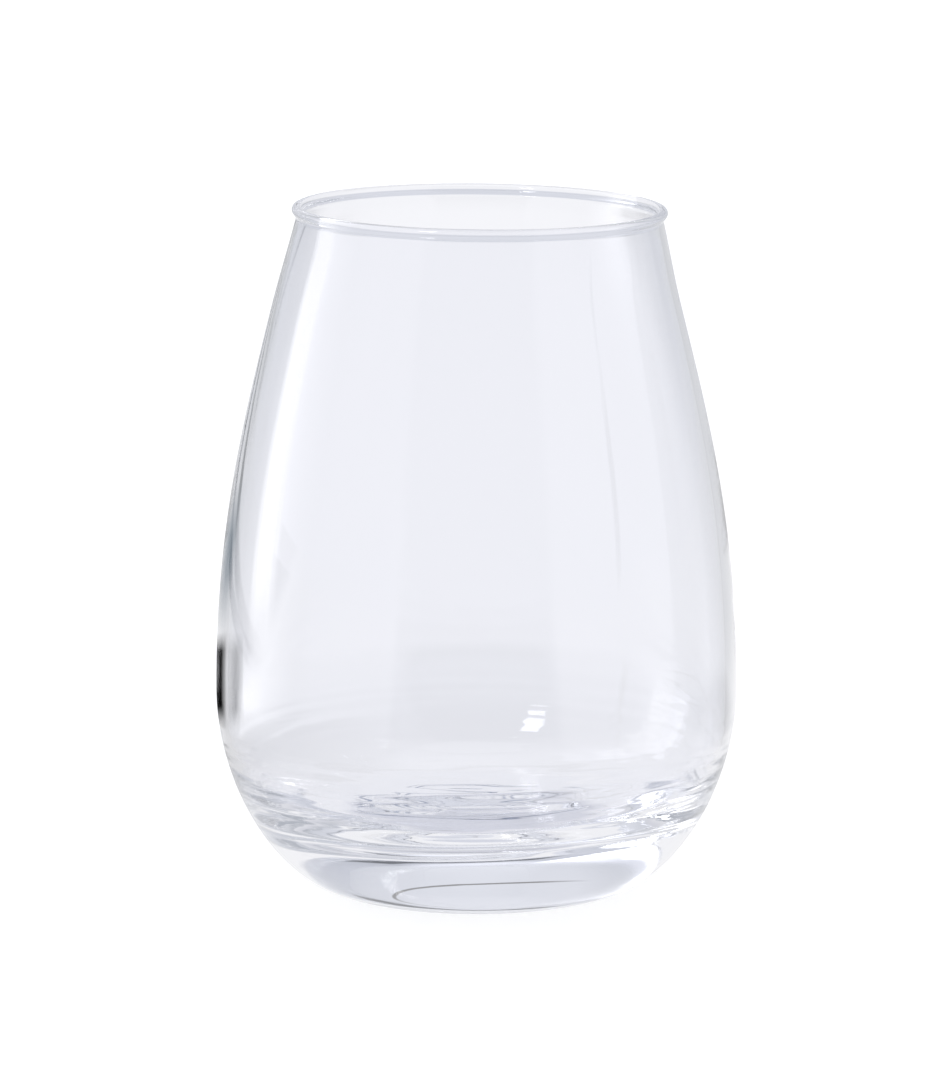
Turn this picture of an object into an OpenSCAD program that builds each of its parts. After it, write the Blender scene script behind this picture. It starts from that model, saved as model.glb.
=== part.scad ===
// Stemless wine glass, a single piece of clear pressed and blown glass.
// Millimetres. The axis of the glass is Z, and the origin is the middle of the
// ring that the glass stands on. The section below is drawn in radius and height
// and turned once about the axis.

/* [Overall] */
// Height from the table to the top of the rim
total_height = 119.4; // [108:0.1:130]
// Outer width at the belly, the widest place
belly_width = 90; // [84:0.5:98]
// Height of the widest place above the table
belly_height = 35.1; // [32:0.1:40]

/* [Foot and heel] */
// Outer width of the flat ring that touches the table
foot_width = 45; // [40:0.5:50]
// Width of the flat ring itself
ring_width = 2.1; // [1:0.1:3]
// Slope of the outer skin where it leaves the flat ring, in degrees
foot_slope = 4; // [0:0.5:10]
// How far the skin keeps that slope before it turns up
heel_reach = 11.9; // [9:0.1:14]
// How far the skin hangs straight down from the belly before it turns in
heel_drop = 16.9; // [13:0.1:20]

/* [Shoulder and neck] */
// How far the skin rises straight up from the belly before it turns in
shoulder_rise = 33.3; // [26:0.1:38]
// How far below the neck the skin already follows the lean of the neck
neck_run = 29.9; // [24:0.1:34]
// Outer width of the neck, just under the rim
neck_width = 63.2; // [58:0.1:70]
// Inward lean of the neck from upright, in degrees
neck_lean = 13.3; // [8:0.1:16]

/* [Rim bead] */
// Thickness of the round bead melted onto the edge
bead_width = 1.7; // [1.4:0.1:2.4]
// How far the bead stands out past the neck
bead_proud = 0.65; // [0.4:0.05:0.9]
// Length of the throat that blends the neck into the bead
throat_length = 1.6; // [1.4:0.1:2.4]
// Share of the throat that its two ends hold straight
throat_share = 0.3; // [0.2:0.05:0.4]
// Angle on the bead, below level, where the outer throat joins it
throat_angle = 35; // [20:1:50]
// Angle on the bead, below level, where the inner throat joins it
inner_throat_angle = 15; // [5:1:30]

/* [Wall and base] */
// Wall thickness at the neck
neck_wall = 1.1; // [0.9:0.05:1.6]
// Wall thickness at the belly
belly_wall = 1.9; // [1.6:0.05:2.4]
// Thickness of the glass in the middle of the base
base_thickness = 10; // [8:0.1:12]
// Depth of the hollow under the base
punt_depth = 3; // [1:0.1:4]

/* [Bowl floor] */
// Width of the nearly level floor of the bowl
floor_width = 64; // [56:0.5:67]
// How far the floor climbs from its middle to its edge
floor_rise = 1.3; // [0.5:0.1:2.5]
// Slope of the floor at its edge, in degrees
floor_slope = 7; // [3:0.5:12]
// How far the corner keeps that slope before it turns up into the wall
corner_reach = 3; // [1:0.1:4]
// How far the inner wall hangs straight down before it turns into the corner
bowl_drop = 18; // [14:0.5:19]

/* [Hidden] */
glass_colour = [0.90, 0.93, 0.95, 0.35];

belly_r = belly_width / 2;
foot_r = foot_width / 2;
neck_r = neck_width / 2;
bead_r = bead_width / 2;
// The bead is centred so that its outer side passes the neck by bead_proud.
bead_centre_r = neck_r + bead_proud - bead_r;
bead_centre_z = total_height - bead_r;
neck_height = bead_centre_z - throat_length;
ring_inner_r = foot_r - ring_width;
floor_height = punt_depth + base_thickness;
floor_r = floor_width / 2;
inner_belly_r = belly_r - belly_wall;
inner_neck_r = neck_r - neck_wall;

// Straight pieces along each curve of the section.
curve_steps = 24;
corner_steps = 32;
floor_steps = 12;
throat_steps = 6;
bead_steps = 20;
punt_steps = 10;
turn_facets = 144;

// A point at share t of a smooth curve from a to d that leaves towards b and
// arrives from c.
function on_curve(a, b, c, d, t) =
    pow(1 - t, 3) * a + 3 * pow(1 - t, 2) * t * b + 3 * (1 - t) * t * t * c + t * t * t * d;

// The points of that curve after its first one, so that curves join end to end.
function curve(a, b, c, d, steps) =
    [for (i = [1 : steps]) on_curve(a, b, c, d, i / steps)];

// A point on the bead at an angle from level, outwards being zero.
function on_bead(angle) =
    [bead_centre_r + bead_r * cos(angle), bead_centre_z + bead_r * sin(angle)];

// The way round the bead at that angle, anticlockwise in the section.
function along_bead(angle) = [-sin(angle), cos(angle)];

neck_way = [-sin(neck_lean), cos(neck_lean)];
throat_hold = throat_share * throat_length;
outer_join_angle = -throat_angle;
inner_join_angle = 180 + inner_throat_angle;

foot_edge = [foot_r, 0];
belly = [belly_r, belly_height];
neck = [neck_r, neck_height];
inner_belly = [inner_belly_r, belly_height];
inner_neck = [inner_neck_r, neck_height];
floor_middle = [0, floor_height];
floor_edge = [floor_r, floor_height + floor_rise];
floor_way = [cos(floor_slope), sin(floor_slope)];
punt_middle = [0, punt_depth];
ring_edge = [ring_inner_r, 0];

heel_skin = curve(
    foot_edge,
    foot_edge + heel_reach * [cos(foot_slope), sin(foot_slope)],
    belly - [0, heel_drop],
    belly,
    curve_steps);

shoulder_skin = curve(
    belly,
    belly + [0, shoulder_rise],
    neck - neck_run * neck_way,
    neck,
    curve_steps);

outer_throat = curve(
    neck,
    neck + throat_hold * neck_way,
    on_bead(outer_join_angle) - throat_hold * along_bead(outer_join_angle),
    on_bead(outer_join_angle),
    throat_steps);

bead_skin = [
    for (i = [1 : bead_steps])
        on_bead(outer_join_angle + (inner_join_angle - outer_join_angle) * i / bead_steps)];

inner_throat = curve(
    on_bead(inner_join_angle),
    on_bead(inner_join_angle) + throat_hold * along_bead(inner_join_angle),
    inner_neck + throat_hold * neck_way,
    inner_neck,
    throat_steps);

inner_wall = curve(
    inner_neck,
    inner_neck - neck_run * neck_way,
    inner_belly + [0, shoulder_rise],
    inner_belly,
    curve_steps);

bowl_corner = curve(
    inner_belly,
    inner_belly - [0, bowl_drop],
    floor_edge + corner_reach * floor_way,
    floor_edge,
    corner_steps);

// The floor keeps its slope for a third of its width and ends level in the middle.
bowl_floor = curve(
    floor_edge,
    floor_edge - floor_r / 3 * floor_way,
    floor_middle + [floor_r / 3, 0],
    floor_middle,
    floor_steps);

// The hollow leaves the middle level and comes down to the ring in a slope.
punt_skin = curve(
    punt_middle,
    punt_middle + [ring_inner_r / 2, 0],
    ring_edge + [-ring_inner_r / 4, punt_depth / 2],
    ring_edge,
    punt_steps);

glass_section = concat(
    [foot_edge],
    heel_skin,
    shoulder_skin,
    outer_throat,
    bead_skin,
    inner_throat,
    inner_wall,
    bowl_corner,
    bowl_floor,
    [punt_middle],
    punt_skin);

// The whole glass: foot, bowl and rim are one piece with no joint in it.
module glass_body() {
    color(glass_colour)
        rotate_extrude($fn = turn_facets)
            polygon(glass_section);
}

glass_body();
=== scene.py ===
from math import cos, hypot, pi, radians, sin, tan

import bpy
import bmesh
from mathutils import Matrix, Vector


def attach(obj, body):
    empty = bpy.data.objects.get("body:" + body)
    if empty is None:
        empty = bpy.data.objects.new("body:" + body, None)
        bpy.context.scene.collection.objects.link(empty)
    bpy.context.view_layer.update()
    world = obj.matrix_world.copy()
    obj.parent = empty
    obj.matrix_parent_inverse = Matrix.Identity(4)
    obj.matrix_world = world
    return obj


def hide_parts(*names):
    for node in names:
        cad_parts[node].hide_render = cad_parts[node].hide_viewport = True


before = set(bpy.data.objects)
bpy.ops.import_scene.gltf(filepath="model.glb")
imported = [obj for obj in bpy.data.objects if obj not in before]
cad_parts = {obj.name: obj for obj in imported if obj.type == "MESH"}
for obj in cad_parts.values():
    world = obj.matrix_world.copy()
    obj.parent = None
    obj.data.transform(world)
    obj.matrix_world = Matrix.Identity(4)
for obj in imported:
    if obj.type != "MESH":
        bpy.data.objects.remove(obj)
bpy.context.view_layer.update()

# %% [markdown]
# # A stemless wine glass
# The glass is one piece of clear soda-lime glass. A gob of hot glass is pressed, blown out
# in a mould and cut free, and its edge is melted round in a flame. Everything that makes it
# look real follows from that: a thin wall, a heavy base, a round bead at the rim, and faint
# waves where hot glass first touched cold iron.
#
# Clear glass has hardly any colour of its own. It shows what stands round it, bent and
# doubled by its two skins, so this lesson spends as much care on the true shape of both
# skins, and on the studio, as on the material.

MM = 0.001


def deselect_all():
    """Operators act on all that is selected, so each step starts from nothing."""
    if bpy.context.object and bpy.context.object.mode != "OBJECT":
        bpy.ops.object.mode_set(mode="OBJECT")
    bpy.ops.object.select_all(action="DESELECT")


def pick(piece):
    """Makes one object the only selected and active one."""
    deselect_all()
    piece.select_set(True)
    bpy.context.view_layer.objects.active = piece


# %% [markdown]
# ## The camera
# A long lens stands well back from the glass and a little above it, as product pictures are
# made, so that the sides keep their true lean and the rim shows as a slim oval. The glass
# stands a little to the right of the middle of the picture. A small shift of the lens gives
# that without turning the camera, which would tip the glass.

# %% Camera
PICTURE_W = 937
PICTURE_H = 1080
CAMERA_DISTANCE = 1300 * MM
CAMERA_ELEVATION = radians(9.8)
AIM_HEIGHT = 60 * MM
PIXELS_PER_MM = 5.793
AXIS_PIXEL_X = 476.39
AIM_PIXEL_Y = 545.3
SENSOR_WIDTH = 36
NEAREST, FARTHEST = 0.05, 50

camera_data = bpy.data.cameras.new("camera")
camera = bpy.data.objects.new("camera", camera_data)
bpy.context.scene.collection.objects.link(camera)
bpy.context.scene.camera = camera
camera_data.sensor_width = SENSOR_WIDTH
focal_pixels = PIXELS_PER_MM / MM * CAMERA_DISTANCE
camera_data.lens = focal_pixels * SENSOR_WIDTH / PICTURE_H
camera_data.clip_start = NEAREST
camera_data.clip_end = FARTHEST
to_camera = Vector((0, -cos(CAMERA_ELEVATION), sin(CAMERA_ELEVATION)))
camera.location = Vector((0, 0, AIM_HEIGHT)) + to_camera * CAMERA_DISTANCE
camera.rotation_mode = "QUATERNION"
camera.rotation_quaternion = (-to_camera).to_track_quat("-Z", "Y")
camera_data.shift_x = -(AXIS_PIXEL_X - PICTURE_W / 2) / PICTURE_H
camera_data.shift_y = (AIM_PIXEL_Y - PICTURE_H / 2) / PICTURE_H
print("lens", round(camera_data.lens, 1), "mm")

# %% [markdown]
# ## The section of the glass
# Cut through its axis, the glass is a single closed outline: up the outer skin, over the bead,
# down the inner skin, across the floor of the bowl, and back along the hollow under the base.
# It could be carved from a cylinder with loop after loop, but a turned thing is best drawn the
# way a pattern maker draws it, as a half section of a few smooth curves. Each stretch below is
# one Bezier curve with its two handles set by hand-sized lengths: how far the skin runs on
# straight before it turns. The glass has the same sizes as the part that it dresses. Only the
# rim starts a touch lower, because the rim is tipped later on.

# %% Sizes of the outer skin
RIM_HEIGHT = 119.0 * MM
BELLY_RADIUS = 45 * MM
BELLY_HEIGHT = 35.1 * MM
FOOT_RADIUS = 22.5 * MM
FOOT_SLOPE = radians(4)
HEEL_REACH = 11.9 * MM
HEEL_DROP = 16.9 * MM
SHOULDER_RISE = 33.3 * MM
NECK_RUN = 29.9 * MM
NECK_RADIUS = 31.6 * MM
NECK_LEAN = radians(13.3)
BEAD_RADIUS = 0.85 * MM
BEAD_PROUD = 0.65 * MM
THROAT_LENGTH = 1.6 * MM
THROAT_HOLD = 0.3 * THROAT_LENGTH
THROAT_ANGLE = radians(35)
INNER_THROAT_ANGLE = radians(15)

# %% Sizes of the inner skin and the underside
NECK_WALL = 1.1 * MM
BELLY_WALL = 1.9 * MM
BASE_THICKNESS = 10 * MM
PUNT_DEPTH = 3 * MM
RING_WIDTH = 2.1 * MM
FLOOR_RADIUS = 32 * MM
FLOOR_RISE = 1.3 * MM
FLOOR_SLOPE = radians(7)
CORNER_REACH = 3 * MM
BOWL_DROP = 18 * MM

# %% Corner points of the section, in radius and height
bead_centre = Vector((NECK_RADIUS + BEAD_PROUD - BEAD_RADIUS, RIM_HEIGHT - BEAD_RADIUS))
neck_height = bead_centre.y - THROAT_LENGTH
floor_height = PUNT_DEPTH + BASE_THICKNESS
ring_inner = FOOT_RADIUS - RING_WIDTH
up = Vector((0, 1))
out = Vector((1, 0))
foot_way = Vector((cos(FOOT_SLOPE), sin(FOOT_SLOPE)))
neck_way = Vector((-sin(NECK_LEAN), cos(NECK_LEAN)))
floor_way = Vector((cos(FLOOR_SLOPE), sin(FLOOR_SLOPE)))

foot_edge = Vector((FOOT_RADIUS, 0))
belly = Vector((BELLY_RADIUS, BELLY_HEIGHT))
neck = Vector((NECK_RADIUS, neck_height))
inner_belly = belly - BELLY_WALL * out
inner_neck = neck - NECK_WALL * out
floor_edge = Vector((FLOOR_RADIUS, floor_height + FLOOR_RISE))
floor_middle = Vector((0, floor_height))
punt_middle = Vector((0, PUNT_DEPTH))
ring_edge = Vector((ring_inner, 0))
print("base", BASE_THICKNESS / MM, "mm thick, floor at", floor_height / MM, "mm")


# %% One stretch of the section
def draw_stretch(start, start_handle, end_handle, end, steps, skin):
    """One Bezier stretch, turned into short edges. Its points join the group of their skin."""
    deselect_all()
    bpy.ops.curve.primitive_bezier_curve_add(location=(0, 0, 0))
    line = bpy.context.object
    line.data.resolution_u = steps
    first, last = line.data.splines[0].bezier_points
    for point in (first, last):
        point.handle_left_type = point.handle_right_type = "FREE"
    first.co, first.handle_right, first.handle_left = [
        (p.x, 0, p.y) for p in (start, start_handle, start)]
    last.co, last.handle_left, last.handle_right = [
        (p.x, 0, p.y) for p in (end, end_handle, end)]
    bpy.ops.object.convert(target="MESH")
    line = bpy.context.object
    points = line.vertex_groups.new(name=skin)
    points.add(range(len(line.data.vertices)), 1, "REPLACE")
    return line


# %% Outer skin
HEEL_STEPS = 70
SHOULDER_STEPS = 36
heel_line = draw_stretch(
    foot_edge, foot_edge + HEEL_REACH * foot_way, belly - HEEL_DROP * up, belly,
    HEEL_STEPS, "outer_skin")
shoulder_line = draw_stretch(
    belly, belly + SHOULDER_RISE * up, neck - NECK_RUN * neck_way, neck,
    SHOULDER_STEPS, "outer_skin")
section_lines = [heel_line, shoulder_line]
print("outer skin points:", sum(len(line.data.vertices) for line in section_lines))

# %% [markdown]
# ## The bead at the rim
# A cut edge of glass is sharp, so the maker plays a flame on it until it melts into a round
# bead, a little thicker than the wall. Its section is most of a circle. A short throat on each
# side blends it into the wall, because molten glass never meets its neighbour at a hard angle.

# %% Bead and throats
BEAD_ARCS = 4
BEAD_STEPS = 5
THROAT_STEPS = 5


def on_bead(angle):
    return bead_centre + BEAD_RADIUS * Vector((cos(angle), sin(angle)))


def along_bead(angle):
    return Vector((-sin(angle), cos(angle)))


arc_turn = (pi + THROAT_ANGLE + INNER_THROAT_ANGLE) / BEAD_ARCS
arc_handle = BEAD_RADIUS * 4 / 3 * tan(arc_turn / 4)
outer_join, inner_join = -THROAT_ANGLE, pi + INNER_THROAT_ANGLE
section_lines.append(draw_stretch(
    neck, neck + THROAT_HOLD * neck_way,
    on_bead(outer_join) - THROAT_HOLD * along_bead(outer_join), on_bead(outer_join),
    THROAT_STEPS, "bead"))
for i in range(BEAD_ARCS):
    a = outer_join + i * arc_turn
    b = a + arc_turn
    section_lines.append(draw_stretch(
        on_bead(a), on_bead(a) + arc_handle * along_bead(a),
        on_bead(b) - arc_handle * along_bead(b), on_bead(b), BEAD_STEPS, "bead"))
section_lines.append(draw_stretch(
    on_bead(inner_join), on_bead(inner_join) + THROAT_HOLD * along_bead(inner_join),
    inner_neck + THROAT_HOLD * neck_way, inner_neck,
    THROAT_STEPS, "bead"))
print("rim", round(2 * (bead_centre.x + BEAD_RADIUS) / MM, 1), "mm across")

# %% [markdown]
# ## The inside of the bowl and the underside
# The wall thins from the belly to the neck, as blown glass does. At the bottom it turns
# through a tight corner into a floor that is nearly level, and the heavy base is the space
# between that floor and the hollow underneath. The glass touches the table only on a
# narrow ring round the hollow. The corner gets the closest rows of points, because its
# curve decides where the base turns from clear to mirror.

# %% Inner wall, floor and underside
WALL_STEPS = 32
CORNER_STEPS = 100
FLOOR_STEPS = 70
PUNT_STEPS = 20
RING_STEPS = 2
section_lines += [
    draw_stretch(inner_neck, inner_neck - NECK_RUN * neck_way,
                 inner_belly + SHOULDER_RISE * up, inner_belly, WALL_STEPS, "inner_skin"),
    draw_stretch(inner_belly, inner_belly - BOWL_DROP * up,
                 floor_edge + CORNER_REACH * floor_way, floor_edge, CORNER_STEPS, "inner_skin"),
    draw_stretch(floor_edge, floor_edge - FLOOR_RADIUS / 3 * floor_way,
                 floor_middle + FLOOR_RADIUS / 3 * out, floor_middle, FLOOR_STEPS, "inner_skin"),
    draw_stretch(punt_middle, punt_middle + ring_inner / 2 * out,
                 ring_edge + Vector((-ring_inner / 4, PUNT_DEPTH / 2)), ring_edge,
                 PUNT_STEPS, "underside"),
    draw_stretch(ring_edge, ring_edge + RING_WIDTH / 3 * out,
                 foot_edge - RING_WIDTH / 3 * out, foot_edge, RING_STEPS, "underside"),
]
deselect_all()
for line in section_lines:
    line.select_set(True)
bpy.context.view_layer.objects.active = heel_line
bpy.ops.object.join()
glass = bpy.context.object
glass.name = glass.data.name = "glass"
print("section:", len(glass.data.vertices), "points")

# %% [markdown]
# ## Turning the section
# The spin operator sweeps the outline once round the axis, as a lathe would. The ends of the
# sweep and the points on the axis are then merged, so that the glass is one closed skin with
# no seam, and its faces are turned to point outwards: glass is only drawn rightly when the
# renderer can tell inside from outside.

# %% Spin
TURN_STEPS = 192
MERGE_SECTION = 0.01 * MM
MERGE_TURN = 0.002 * MM
pick(glass)
bpy.ops.object.mode_set(mode="EDIT")
bpy.ops.mesh.select_all(action="SELECT")
bpy.ops.mesh.remove_doubles(threshold=MERGE_SECTION)
bpy.ops.mesh.spin(steps=TURN_STEPS, angle=2 * pi, center=(0, 0, 0), axis=(0, 0, 1))
bpy.ops.mesh.select_all(action="SELECT")
bpy.ops.mesh.remove_doubles(threshold=MERGE_TURN)
bpy.ops.mesh.normals_make_consistent(inside=False)
bpy.ops.object.mode_set(mode="OBJECT")
bpy.ops.object.shade_smooth()


def report(piece):
    """Prints how many faces the piece has, whether it is closed, and how much glass it holds."""
    mesh = bmesh.new()
    mesh.from_mesh(piece.data)
    open_edges = sum(1 for edge in mesh.edges if not edge.is_manifold)
    triangles = sum(len(face.verts) - 2 for face in mesh.faces)
    print(piece.name, "triangles:", triangles, "open edges:", open_edges,
          "volume in ml:", round(mesh.calc_volume() * 1e6, 1))
    mesh.free()


report(glass)

# %% [markdown]
# ## Which points are which
# The next steps touch only some of the skin: the inner wall low down, the heel, the rim.
# Each stretch of the section has put its points into the group of its skin, and the spin has
# kept them there. A new group now holds each choice, with a weight that fades from one to
# zero, so that no step ends in a visible edge.


# %% Vertex groups
def fade(value, low, high):
    """0 below low, 1 above high, and a smooth rise between."""
    t = min(max((value - low) / (high - low), 0), 1)
    return t * t * (3 - 2 * t)


def band(value, start, full, easing, end):
    """0 below start, 1 from full to easing, 0 above end, and smooth between."""
    return fade(value, start, full) * (1 - fade(value, easing, end))


def points_of(piece, skin):
    """The vertices of one skin."""
    index = piece.vertex_groups[skin].index
    return [v for v in piece.data.vertices if any(g.group == index for g in v.groups)]


def weigh(piece, name, skins, weight):
    """A new group of some skins' points, weighed by their height in millimetres."""
    group = piece.vertex_groups.new(name=name)
    count = 0
    for skin in skins:
        for vertex in points_of(piece, skin):
            share = weight(vertex.co.z / MM)
            if share > 0:
                group.add([vertex.index], share, "REPLACE")
                count += 1
    print("group", name, "holds", count, "points")


# Heights in millimetres: where a choice starts, is full, starts to fade, and has ended.
LOW_WALL_BAND = (15, 19, 24, 34)
HEEL_BAND = (3, 10, 24, 34)
RIM_START, RIM_FULL = 114, 118
weigh(glass, "lower_inner_wall", ["inner_skin"], lambda height: band(height, *LOW_WALL_BAND))
weigh(glass, "heel", ["outer_skin"], lambda height: band(height, *HEEL_BAND))
weigh(glass, "rim", ["outer_skin", "bead", "inner_skin"],
      lambda height: fade(height, RIM_START, RIM_FULL))

# %% [markdown]
# ## Chill ripples
# Hot glass stiffens in steps where it first meets the cold mould, and low in the bowl it keeps
# faint level waves, like the ripples in sand. They could be painted as bump, but they bend
# what is seen through them, so here they move the skin itself: a cloud pattern, stretched
# wide and squeezed low by the empty that carries it, pushes the points along their normals
# by less than a tenth of a millimetre. The heel and the rim get weaker, broader waves in the
# same way, from the mould and from the flame.


# %% Ripples
def ripple(piece, group, name, width, height, depth, detail):
    """Pushes a group's points in and out by a cloud pattern of that width and height."""
    deselect_all()
    bpy.ops.object.empty_add(location=(0, 0, 0))
    space = bpy.context.object
    space.scale = (width, width, height)
    bpy.context.view_layer.update()
    clouds = bpy.data.textures.new(name, "CLOUDS")
    clouds.noise_scale = 1
    clouds.noise_depth = detail
    pick(piece)
    bpy.ops.object.modifier_add(type="DISPLACE")
    push = piece.modifiers[-1]
    push.texture = clouds
    push.texture_coords = "OBJECT"
    push.texture_coords_object = space
    push.vertex_group = group
    push.strength = depth
    push.mid_level = 0.5
    bpy.ops.object.modifier_apply(modifier=push.name)
    bpy.data.objects.remove(space)


# Group, pattern, width and height of a wave, depth from crest to trough, and detail.
RIPPLES = [
    ("lower_inner_wall", "chill_ripples", 26 * MM, 1.3 * MM, 0.16 * MM, 1),
    ("heel", "mould_waves", 20 * MM, 4 * MM, 0.08 * MM, 0),
    ("rim", "flame_waves", 9 * MM, 9 * MM, 0.03 * MM, 2),
]
for settings in RIPPLES:
    ripple(glass, *settings)
report(glass)

# %% [markdown]
# ## A floor that isn't quite level
# The gob never fills the mould evenly, so the floor of the bowl climbs a little to one side.
# It is this that tips the lines seen in the base. A formula lifts the floor, because it has
# to fade out exactly where the wall begins.

# %% Tip the floor
FLOOR_TIP = radians(1.6)
TIP_REACH = 27 * MM
TIP_END = 41 * MM
for vertex in points_of(glass, "inner_skin"):
    spot = vertex.co.copy()
    if spot.z < BELLY_HEIGHT:
        share = 1 - fade(hypot(spot.x, spot.y), TIP_REACH, TIP_END)
        vertex.co.z += spot.x * tan(FLOOR_TIP) * share
glass.data.update()
print("floor is", round(2 * TIP_REACH * tan(FLOOR_TIP) / MM, 1), "mm higher at the right")

# %% [markdown]
# ## A rim that isn't quite true
# No blown rim is level and centred to the last tenth. This one tips up by less than half a
# millimetre on one side and leans as little to the other. Proportional editing does it as a
# hand would: the bead is moved and turned, and the neck follows, less and less.

# %% Tip the rim
RIM_SHIFT = 0.6 * MM
RIM_TIP = radians(-0.65)
RIM_PULL = 16 * MM
pick(glass)
bpy.ops.object.mode_set(mode="EDIT")
bpy.ops.mesh.select_all(action="DESELECT")
bpy.ops.object.mode_set(mode="OBJECT")
for vertex in glass.data.vertices:
    vertex.select = vertex.co.z > neck_height
bpy.ops.object.mode_set(mode="EDIT")
bpy.ops.transform.translate(value=(RIM_SHIFT, 0, 0), use_proportional_edit=True,
                            proportional_edit_falloff="SMOOTH", proportional_size=RIM_PULL)
bpy.ops.transform.rotate(value=RIM_TIP, orient_axis="Y", orient_type="GLOBAL",
                         center_override=(RIM_SHIFT, 0, RIM_HEIGHT), use_proportional_edit=True,
                         proportional_edit_falloff="SMOOTH", proportional_size=RIM_PULL)
bpy.ops.object.mode_set(mode="OBJECT")
left_top = max(v.co.z for v in glass.data.vertices if v.co.x < 0)
right_top = max(v.co.z for v in glass.data.vertices if v.co.x > 0)
print("rim top, left and right, in mm:", round(left_top / MM, 2), round(right_top / MM, 2))

# %% [markdown]
# ## Clear glass
# Soda-lime glass bends light by a factor of 1.52 and is perfectly smooth. Its faint cool
# tint shows only where light has passed through much of it. The renderer works the tint in
# each time light crosses a skin, so the colour is set very close to white. A very slight,
# broad bump stands for the cords of slower glass that drift through every melt.
#
# Where the plunger let go, the floor of the bowl keeps faint rings, broken and wandering, and
# a scribble in the middle. They are thinner than any row of points, so they are bump too:
# a few ridges at set radii, pushed about by noise. The flanks of a ridge throw light aside,
# and that is painted in: the flanks get a painted shade, a darker blue in the glass colour.
# Both act only on light that comes from the air in the bowl, or else they would kink the clean
# lines low in the base, and they fade out to the left and right, where the wall would stretch
# them into bars.


# %% Node helpers
def compute(tree, operation, *values, clamp=False):
    """A Math node's output. Each value is a number or another node's output."""
    node = tree.nodes.new("ShaderNodeMath")
    node.operation = operation
    node.use_clamp = clamp
    for socket, value in zip(node.inputs, values):
        if isinstance(value, bpy.types.NodeSocket):
            tree.links.new(value, socket)
        else:
            socket.default_value = value
    return node.outputs[0]


def coordinates(tree, kind):
    """One output of a Texture Coordinate node, and its three parts."""
    place = tree.nodes.new("ShaderNodeTexCoord").outputs[kind]
    parts = tree.nodes.new("ShaderNodeSeparateXYZ")
    tree.links.new(place, parts.inputs[0])
    return place, parts.outputs


def distance(tree, x, y):
    """How far a point lies from the middle, seen from above."""
    squares = [compute(tree, "MULTIPLY", part, part) for part in (x, y)]
    return compute(tree, "SQRT", compute(tree, "ADD", *squares))


def up_to(tree, way, reach, soft):
    """1 up to reach, and a fall to 0 over the length soft beyond it."""
    return compute(tree, "MULTIPLY_ADD", way, -1 / soft, 1 + reach / soft, clamp=True)


def noise(tree, place, scale, detail):
    """Noise between about 0 and 1, with that many lumps to the metre."""
    node = tree.nodes.new("ShaderNodeTexNoise")
    node.inputs["Scale"].default_value = scale
    node.inputs["Detail"].default_value = detail
    tree.links.new(place, node.inputs["Vector"])
    return node.outputs["Fac"]


def mix(tree, blend, factor, first, second):
    """A colour Mix node's output. Each value is a constant or another node's output."""
    node = tree.nodes.new("ShaderNodeMix")
    node.data_type = "RGBA"
    node.blend_type = blend
    sockets = (node.inputs[0], node.inputs[6], node.inputs[7])
    for socket, value in zip(sockets, (factor, first, second)):
        if isinstance(value, bpy.types.NodeSocket):
            tree.links.new(value, socket)
        else:
            socket.default_value = value
    return node.outputs[2]


# %% Clear glass
CLEAR_TINT = (0.968, 0.972, 0.995, 1)
REFRACTION = 1.52

# Rings in the floor: radius, width and height. Noise scales are in lumps to the metre.
RING_MARKS = [
    (20.9 * MM, 0.9 * MM, 0.30), (18.2 * MM, 0.5 * MM, 0.04), (12.8 * MM, 0.8 * MM, 0.26),
    (9.6 * MM, 0.5 * MM, 0.12), (6.0 * MM, 0.7 * MM, 0.18), (2.5 * MM, 0.7 * MM, 0.20)]
WANDER_SCALE, MARK_WANDER = 45, 3.4 * MM
SHAKE_SCALE, MARK_SHAKE = 420, 0.25 * MM
BREAK_SCALE, BREAK_GAIN, BREAK_START = 110, 4.0, -1.2
FLOOR_LOW = floor_height - 2 * MM
FLOOR_TOP = 17 * MM
SIDE_MIDDLE, SIDE_REACH, SIDE_SOFT = -1 * MM, 18 * MM, 3 * MM
# Painted shade on the ridge flanks: its strength, and the dark blue it gives the glass colour.
FLANK_SHADE_DEPTH = 170
FLANK_SHADE_TINT = (0.10, 0.13, 0.22, 1)
CORD_SCALE, CORD_HEIGHT = 60, 0.03

clear = bpy.data.materials.new("clear_glass")
clear.use_nodes = True
tree = clear.node_tree
shader = tree.nodes["Principled BSDF"]
shader.inputs["Roughness"].default_value = 0.0
shader.inputs["IOR"].default_value = REFRACTION
shader.inputs["Transmission Weight"].default_value = 1.0
place, (x, y, z) = coordinates(tree, "Object")

# Each point's ring radius wanders slowly and shakes quickly.
wander = noise(tree, place, WANDER_SCALE, 0)
wander = compute(tree, "MULTIPLY_ADD", wander, MARK_WANDER, -MARK_WANDER / 2)
shake = noise(tree, place, SHAKE_SCALE, 2)
shake = compute(tree, "MULTIPLY_ADD", shake, MARK_SHAKE, -MARK_SHAKE / 2)
ring_way = compute(tree, "ADD", compute(tree, "ADD", distance(tree, x, y), wander), shake)
marks = painted_flank_shade = 0.0
for ring, width, height in RING_MARKS:
    off = compute(tree, "MULTIPLY_ADD", ring_way, 1 / width, -ring / width)
    off_squared = compute(tree, "MULTIPLY", off, off)
    ridge = compute(tree, "EXPONENT", compute(tree, "MULTIPLY", off_squared, -1.0))
    # Each ridge's flanks get painted shade, strongest on its steep sides.
    ridge_flank_shade = compute(tree, "POWER", compute(tree, "MULTIPLY", off_squared, ridge), 3.0)
    marks = compute(tree, "MULTIPLY_ADD", ridge, height, marks)
    painted_flank_shade = compute(tree, "MULTIPLY_ADD", ridge_flank_shade, height * FLANK_SHADE_DEPTH, painted_flank_shade)

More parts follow.
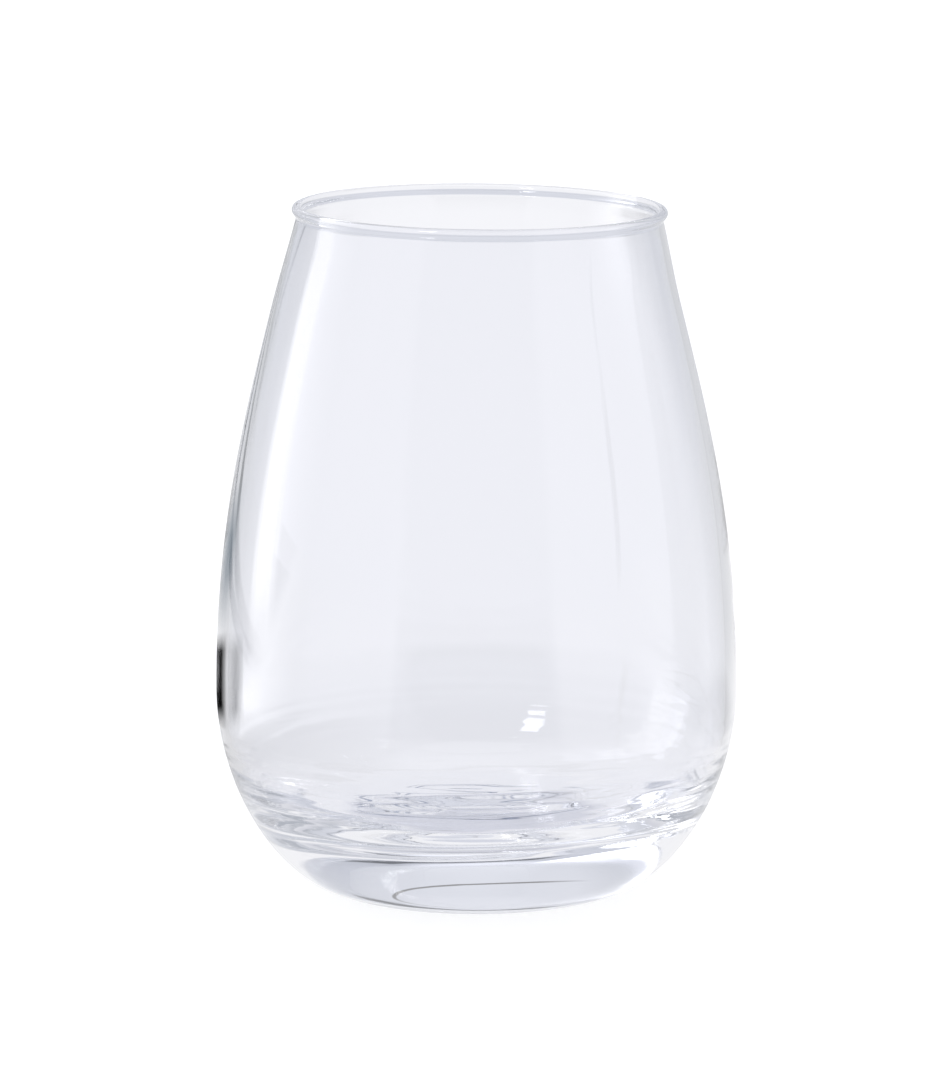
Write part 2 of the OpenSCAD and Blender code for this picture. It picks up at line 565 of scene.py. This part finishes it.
# Where the rings show: in broken stretches, on the floor, from the air side, near the middle.
breaks = noise(tree, place, BREAK_SCALE, 1)
shown = compute(tree, "MULTIPLY_ADD", breaks, BREAK_GAIN, BREAK_START, clamp=True)
on_floor = compute(tree, "MULTIPLY", compute(tree, "GREATER_THAN", z, FLOOR_LOW),
                   compute(tree, "LESS_THAN", z, FLOOR_TOP))
in_glass = tree.nodes.new("ShaderNodeNewGeometry").outputs["Backfacing"]
in_air = compute(tree, "SUBTRACT", 1.0, in_glass)
aside = compute(tree, "ABSOLUTE", compute(tree, "SUBTRACT", x, SIDE_MIDDLE))
for mask in (on_floor, in_air, up_to(tree, aside, SIDE_REACH, SIDE_SOFT)):
    shown = compute(tree, "MULTIPLY", shown, mask)
marks = compute(tree, "MULTIPLY", marks, shown)
painted_flank_shade = compute(tree, "MULTIPLY", painted_flank_shade, shown, clamp=True)
# The painted flank shade darkens and blues the glass colour.
tree.links.new(mix(tree, "MIX", painted_flank_shade, CLEAR_TINT, FLANK_SHADE_TINT), shader.inputs["Base Color"])

cords = compute(tree, "MULTIPLY", noise(tree, place, CORD_SCALE, 1), CORD_HEIGHT)
bump = tree.nodes.new("ShaderNodeBump")
bump.inputs["Strength"].default_value = 1
bump.inputs["Distance"].default_value = MM
tree.links.new(compute(tree, "ADD", marks, cords), bump.inputs["Height"])
tree.links.new(bump.outputs["Normal"], shader.inputs["Normal"])
glass.data.materials.clear()
glass.data.materials.append(clear)
print("glass material:", len(RING_MARKS), "ring marks,", len(tree.nodes), "nodes")

# %% [markdown]
# ## Light that bounces far
# A heavy glass base traps light, which may run round inside its heel a hundred times before
# it leaves. The renderer gives up after twelve by default, and what it drops turns black.
# These limits let it go on.

# %% Bounce limits
LONGEST_PATH = 250
cycles = bpy.context.scene.cycles
cycles.max_bounces = LONGEST_PATH
cycles.transmission_bounces = LONGEST_PATH
cycles.glossy_bounces = LONGEST_PATH
print("light may turn", LONGEST_PATH, "times on its way")

# %% [markdown]
# ## The table
# A plain pale sheet. The camera sees it nearly white. What the glass bends and mirrors is the
# same sheet glowing with painted studio light and shade. Behind the glass its painted brightness
# runs from left to right: brightest in a strip on the axis, dimmer to both sides, with a dark
# gap far out on the left and a painted soft shadow on each side. In front its painted light
# follows the walls, with a dimmer gap before the camera. Round the glass lies a painted pool of
# light, and right under it, where little light would get in, a painted shadow.

# %% Table settings
TABLE_SIZE = 8
TABLE_GREY = 0.5
SEEN_GLOW = 0.80
SHEET_TINT = (0.985, 0.985, 1.0, 1)
SHEET_REACH = 1.0
# Painted light behind the glass: metres to the right of the axis, and brightness.
SHEET_LIGHT = [
    (-1.0, 0.6), (-0.35, 0.68), (-0.34, 0.05), (-0.28, 0.05), (-0.27, 0.72), (-0.11, 0.84),
    (-0.08, 0.98), (0.08, 0.98), (0.11, 0.86), (0.17, 0.74), (0.5, 0.70), (1.0, 0.66)]
# Painted soft shadows: middle to the right and behind, radius, and the share of light taken
# away.
SHADES = [(-105 * MM, 80 * MM, 95 * MM, 0.2), (160 * MM, 100 * MM, 80 * MM, 0.28)]
FRONT_REACH, FRONT_SOFT = 60 * MM, 80 * MM
# A painted pool of light round the glass, and how far it reaches.
NEAR_LIGHT_POOL = (0.93, 0.93, 0.93, 1)
NEAR_REACH, NEAR_SOFT = 120 * MM, 100 * MM
# A painted shadow right under the glass, and how far it reaches.
UNDER_GLASS_SHADOW = (0.64, 0.65, 0.70, 1)
UNDER_REACH, UNDER_SOFT = 21 * MM, 4 * MM
SEEN_PLAIN = (1, 1, 1, 1)

# Round the glass: degrees to the right from the camera's side, and brightness.
WARM_LOSS = 0.3
FRONT_GAP = 0.45
# The painted shade on the table in front of the glass, where the walls have their gap.
FRONT_SHEET = 0.24
WALLS = [
    (-180, 0.80), (-160, 0.80), (-150, 0.72), (-121, 0.68), (-120, 2.3), (-100, 1.4),
    (-82, 0.66), (-36, 0.62), (-34, FRONT_GAP), (32, FRONT_GAP), (36, 0.66), (86, 0.72),
    (104, 0.62), (126, 0.62), (142, 0.68), (165, 0.78), (180, 0.80)]
SHEET_WALLS = [(angle, FRONT_SHEET if level == FRONT_GAP else level) for angle, level in WALLS]


# %% Brightness ramps
def ramp(tree, name, stops, low, high):
    """A ColorRamp node from low to high, with (value, brightness) stops, bluer in the dark."""
    node = tree.nodes.new("ShaderNodeValToRGB")
    node.name = name
    elements = node.color_ramp.elements
    elements.remove(elements[1])
    for i, (value, level) in enumerate(stops):
        share = (value - low) / (high - low)
        element = elements[0] if i == 0 else elements.new(share)
        element.position = share
        loss = WARM_LOSS * (1 - min(level, 1)) ** 2
        element.color = (level * (1 - loss), level * (1 - loss / 2), level, 1)
    print("ramp", name, "has", len(elements), "stops")
    return node


def turn_share(tree, x, y):
    """The way round from the camera's side, as a share of a turn, with the camera at a half."""
    turn = compute(tree, "ARCTAN2", x, compute(tree, "MULTIPLY", y, -1.0))
    return compute(tree, "MULTIPLY_ADD", turn, 1 / (2 * pi), 0.5)


# %% Table
deselect_all()
bpy.ops.mesh.primitive_plane_add(size=TABLE_SIZE, location=(0, 0, 0))
table = bpy.context.object
table.name = "table"
# The sheet's material carries all of its painted light and shade, as glow that only the glass
# sees.
pale = bpy.data.materials.new("pale_sheet_painted_light")
pale.use_nodes = True
tree = pale.node_tree
sheet = tree.nodes["Principled BSDF"]
sheet.inputs["Roughness"].default_value = 0.9
sheet.inputs["Specular IOR Level"].default_value = 0.0
seen = tree.nodes.new("ShaderNodeLightPath").outputs["Is Camera Ray"]
_, (x, y, z) = coordinates(tree, "Object")

# Painted light for what the glass sees: the across ramp behind it, the around ramp in front.
across = ramp(tree, "across", SHEET_LIGHT, -SHEET_REACH, SHEET_REACH)
tree.links.new(compute(tree, "MULTIPLY_ADD", x, 0.5 / SHEET_REACH, 0.5), across.inputs[0])
around = ramp(tree, "around", SHEET_WALLS, -180, 180)
tree.links.new(turn_share(tree, x, y), around.inputs[0])
in_front = up_to(tree, y, FRONT_REACH, FRONT_SOFT)
light = mix(tree, "MIX", in_front, across.outputs[0], around.outputs[0])
away = distance(tree, x, y)
# The painted pool of light round the glass.
light = mix(tree, "MIX", up_to(tree, away, NEAR_REACH, NEAR_SOFT), light, NEAR_LIGHT_POOL)
# The painted shadow right under the glass.
light = mix(tree, "MIX", up_to(tree, away, UNDER_REACH, UNDER_SOFT), light, UNDER_GLASS_SHADOW)
light = mix(tree, "MULTIPLY", 1.0, light, SHEET_TINT)
tree.links.new(mix(tree, "MIX", seen, light, SEEN_PLAIN), sheet.inputs["Emission Color"])

# Painted soft shadows lower the glow that the glass sees.
lit = 1.0
for right, back, shade_radius, depth in SHADES:
    shade_way = distance(tree, compute(tree, "SUBTRACT", x, right),
                         compute(tree, "SUBTRACT", y, back))
    shade = up_to(tree, shade_way, shade_radius / 2, shade_radius / 2)
    lit = compute(tree, "MULTIPLY", lit, compute(tree, "MULTIPLY_ADD", shade, -depth, 1.0))
unseen = compute(tree, "SUBTRACT", 1.0, seen)
glow = compute(tree, "MULTIPLY_ADD", seen, SEEN_GLOW, compute(tree, "MULTIPLY", unseen, lit))
tree.links.new(glow, sheet.inputs["Emission Strength"])
tree.links.new(compute(tree, "MULTIPLY", seen, TABLE_GREY), sheet.inputs["Base Color"])
table.data.materials.append(pale)
print("table:", TABLE_SIZE, "m wide,", len(tree.nodes), "nodes")

# %% [markdown]
# ## The studio
# Clear glass on white is lit from behind: the background is a bright panel, and dark gaps
# beside it are bent into the edges of the glass as thin dark lines that draw its shape. The
# walls of this studio are a ramp of brightness round the glass, measured in degrees from the
# camera. One narrow, very bright panel at the left makes the white band down the left side.
# Behind the glass the ceiling has a dark band, which draws the rim, and straight overhead it
# is bright. The camera itself sees plain white beyond the table.

# %% Studio walls
# Height in degrees, and the share of the dark ceiling or the bright zenith.
CEILING = [(-90, 0), (40, 0), (42, 1), (60, 1), (62, 0), (90, 0)]
ZENITH = [(-90, 0), (64, 0), (72, 1), (90, 1)]
# Degrees round, and the share of the dark ceiling: it lies behind the glass alone.
BACK = [(-180, 1), (-150, 1), (-142, 0), (112, 0), (120, 1), (180, 1)]
CEILING_DARK = (0.03, 0.035, 0.045, 1)
ZENITH_WHITE = (1.2, 1.2, 1.2, 1)
STUDIO_TINT = (0.93, 0.945, 1.01, 1)
SEEN_WHITE = (1.1, 1.1, 1.1, 1)

world = bpy.data.worlds.new("studio")
bpy.context.scene.world = world
world.use_nodes = True
tree = world.node_tree
_, (x, y, z) = coordinates(tree, "Generated")
turned = turn_share(tree, x, y)
raised = compute(tree, "MULTIPLY_ADD", z, 0.5, 0.5)
walls = ramp(tree, "walls", WALLS, -180, 180)
back = ramp(tree, "back", BACK, -180, 180)
ceiling = ramp(tree, "ceiling", [(sin(radians(a)), share) for a, share in CEILING], -1, 1)
zenith = ramp(tree, "zenith", [(sin(radians(a)), share) for a, share in ZENITH], -1, 1)
for node, way in ((walls, turned), (back, turned), (ceiling, raised), (zenith, raised)):
    tree.links.new(way, node.inputs[0])
dark = compute(tree, "MULTIPLY", ceiling.outputs[0], back.outputs[0])
studio = mix(tree, "MIX", dark, walls.outputs[0], CEILING_DARK)
studio = mix(tree, "MIX", zenith.outputs[0], studio, ZENITH_WHITE)
studio = mix(tree, "MULTIPLY", 1.0, studio, STUDIO_TINT)
seen = tree.nodes.new("ShaderNodeLightPath").outputs["Is Camera Ray"]
backdrop = tree.nodes["Background"]
tree.links.new(mix(tree, "MIX", seen, studio, SEEN_WHITE), backdrop.inputs["Color"])
backdrop.inputs["Strength"].default_value = 1

view = bpy.context.scene.view_settings
view.view_transform = "Standard"
view.look = "None"
view.exposure = 0
view.gamma = 1

# %% [markdown]
# ## Flags and lamps
# A flag is a dark card that puts a dark shape into the glass, and a lamp or a box is a bright
# one. The dark flag stands right behind the left side of the glass, and the wall bends it
# into the black blot low on the left edge. A small steel-blue panel over it colours the edge
# above the blot. A tall box at the left widens the bright band, a thin grey strip far behind
# stands for the gap over the back panel, and one small lamp in front makes the highlights low
# on the right. Cards don't show to the camera and cast no shadow, but from other sides they are
# seen through the glass, so those next to it are kept small.


# %% Cards
def toward(azimuth, elevation):
    """The direction at that angle from the camera's side, and above level, in degrees."""
    a, e = radians(azimuth), radians(elevation)
    return Vector((sin(a) * cos(e), -cos(a) * cos(e), sin(e)))


def hang_card(name, centre, facing, width, height, colour, level, soft):
    """A glowing card, turned to a direction. Its edges fade over the soft share of its size."""
    deselect_all()
    bpy.ops.mesh.primitive_plane_add(size=1, location=centre)
    card = bpy.context.object
    card.name = name
    card.rotation_mode = "QUATERNION"
    card.rotation_quaternion = facing.to_track_quat("Z", "Y")
    card.scale = (width, height, 1)
    paint = bpy.data.materials.new(name)
    paint.use_nodes = True
    tree = paint.node_tree
    face = tree.nodes["Principled BSDF"]
    face.inputs["Base Color"].default_value = (0, 0, 0, 1)
    face.inputs["Specular IOR Level"].default_value = 0
    face.inputs["Emission Color"].default_value = colour
    face.inputs["Emission Strength"].default_value = level
    _, (x, y, z) = coordinates(tree, "Object")
    edges = [up_to(tree, compute(tree, "ABSOLUTE", way), 0.5 - soft, soft) for way in (x, y)]
    tree.links.new(compute(tree, "MULTIPLY", *edges), face.inputs["Alpha"])
    card.data.materials.append(paint)
    card.visible_camera = False
    card.visible_shadow = False
    card.visible_diffuse = False
    print("card", name, "is", round(width / MM), "by", round(height / MM), "mm")


WHITE = (1, 1, 1, 1)
STEEL = (0.75, 0.88, 1, 1)
FRONT = toward(0, 0)
LAMP_WAY = toward(-34, 40)
LAMP_DISTANCE = 1.0
# Name, middle in millimetres, facing, width, height, colour, brightness, softness.
CARDS = [
    ("gap_over_panel", (150, 1200, 275), FRONT, 1300 * MM, 14 * MM, WHITE, 0.25, 0.2),
    ("tall_box", (-279, 80, 130), toward(70, 0), 90 * MM, 260 * MM, WHITE, 1.9, 0.15),
    ("left_flag", (-49.5, 12, 34), FRONT, 14 * MM, 17 * MM, WHITE, 0.003, 0.2),
    ("left_panel", (-51, 12, 56), FRONT, 14 * MM, 30 * MM, STEEL, 0.30, 0.4),
    ("small_lamp", LAMP_WAY * LAMP_DISTANCE / MM, -LAMP_WAY, 160 * MM, 380 * MM, WHITE, 8, 0.1),
]
for name, middle, *settings in CARDS:
    hang_card(name, Vector(middle) * MM, *settings)

# %% Hand over
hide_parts("glass_body")
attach(glass, "root")
